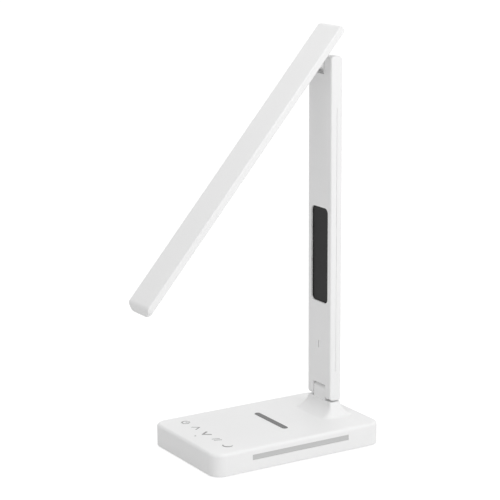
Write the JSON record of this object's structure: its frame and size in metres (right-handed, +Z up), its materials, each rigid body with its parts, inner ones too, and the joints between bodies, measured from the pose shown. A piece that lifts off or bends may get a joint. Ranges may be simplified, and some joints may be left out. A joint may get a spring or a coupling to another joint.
{
  "type": "led table lamp",
  "caption": "White folding LED table lamp: flat charging base with touch keys and flank light, slim pole with a dark clock display, and a tilting edge-lit light head.",
  "frame": {"origin": "on the table, under the middle of the base, at the underside of the foot ring", "axes": "+X is the user's right along both hinge axes, -Y is the front where the keys are, +Z is up"},
  "size_m": [0.1146, 0.2224, 0.3862],
  "materials": {
    "white_shell": "satin white moulding with a fine spark texture",
    "grey_rubber": "soft matt",
    "screw_steel": "zinc plated",
    "plate_steel": "rolled sheet",
    "circuit_board": "solder mask",
    "black_moulding": "satin black",
    "cable_jacket": "matt jacket",
    "copper_winding": "lacquered copper wire",
    "ferrite": "bonded ferrite sheet",
    "dark_silicone": "matt non-slip silicone",
    "grey_symbol": "printed grey",
    "frosted_strip": "frosted translucent",
    "led_package": "phosphor in a white frame",
    "bright_contact": "nickel plated",
    "hinge_brass": "turned",
    "smoked_lens": "smoked gloss",
    "lcd_glass": "dark display",
    "pin_steel": "ground",
    "opal_diffuser": "opal satin",
    "clear_guide": "clear acrylic",
    "white_film": "reflective film",
    "heat_aluminium": "mill"
  },
  "bodies": {
    "base": {"base_shell": "white_shell", "base_cover": "white_shell", "foot_ring": "grey_rubber", "cover_screws": "screw_steel", "ballast_plate": "plate_steel", "ballast_screws": "screw_steel", "main_board": "circuit_board", "main_board_screws": "screw_steel", "board_parts": "black_moulding", "base_harness": "cable_jacket", "charging_coil": "copper_winding", "ferrite_sheet": "ferrite", "charging_strip": "dark_silicone", "touch_board": "circuit_board", "touch_icons": "grey_symbol", "indicator_pipe": "grey_symbol", "flank_light_lens": "frosted_strip", "flank_light_board": "circuit_board", "flank_leds": "led_package", "power_jack": "black_moulding", "jack_pin": "bright_contact", "lower_bush": "hinge_brass"},
    "pole": {"pole_front_shell": "white_shell", "pole_back_shell": "white_shell", "pole_screws": "screw_steel", "display_lens": "smoked_lens", "lcd_module": "lcd_glass", "display_board": "circuit_board", "display_screws": "screw_steel", "room_sensor": "black_moulding", "clock_cell": "bright_contact", "pole_spine": "plate_steel", "pole_cable": "cable_jacket", "lower_hinge_pin": "pin_steel", "lower_washers": "pin_steel", "upper_hinge_pin": "pin_steel", "upper_washers": "pin_steel"},
    "head": {"head_cover": "white_shell", "hinge_panel": "white_shell", "panel_screws": "screw_steel", "upper_bush": "hinge_brass", "diffuser_panel": "opal_diffuser", "light_guide": "clear_guide", "reflector_sheet": "white_film", "heat_plate": "heat_aluminium", "left_led_board": "heat_aluminium", "right_led_board": "heat_aluminium", "left_leds": "led_package", "right_leds": "led_package", "head_cable": "cable_jacket"}
  },
  "joints": [
    {"name": "pole_fold", "type": "hinge", "parent": "base", "child": "pole", "pos_m": [0, 0.0638, 0.044], "axis": [1, 0, 0], "range_deg": [0, 90]},
    {"name": "head_tilt", "type": "hinge", "parent": "pole", "child": "head", "pos_m": [0, 0.0638, 0.3505], "axis": [-1, 0, 0], "range_deg": [-40.7, 109.3]}
  ]
}
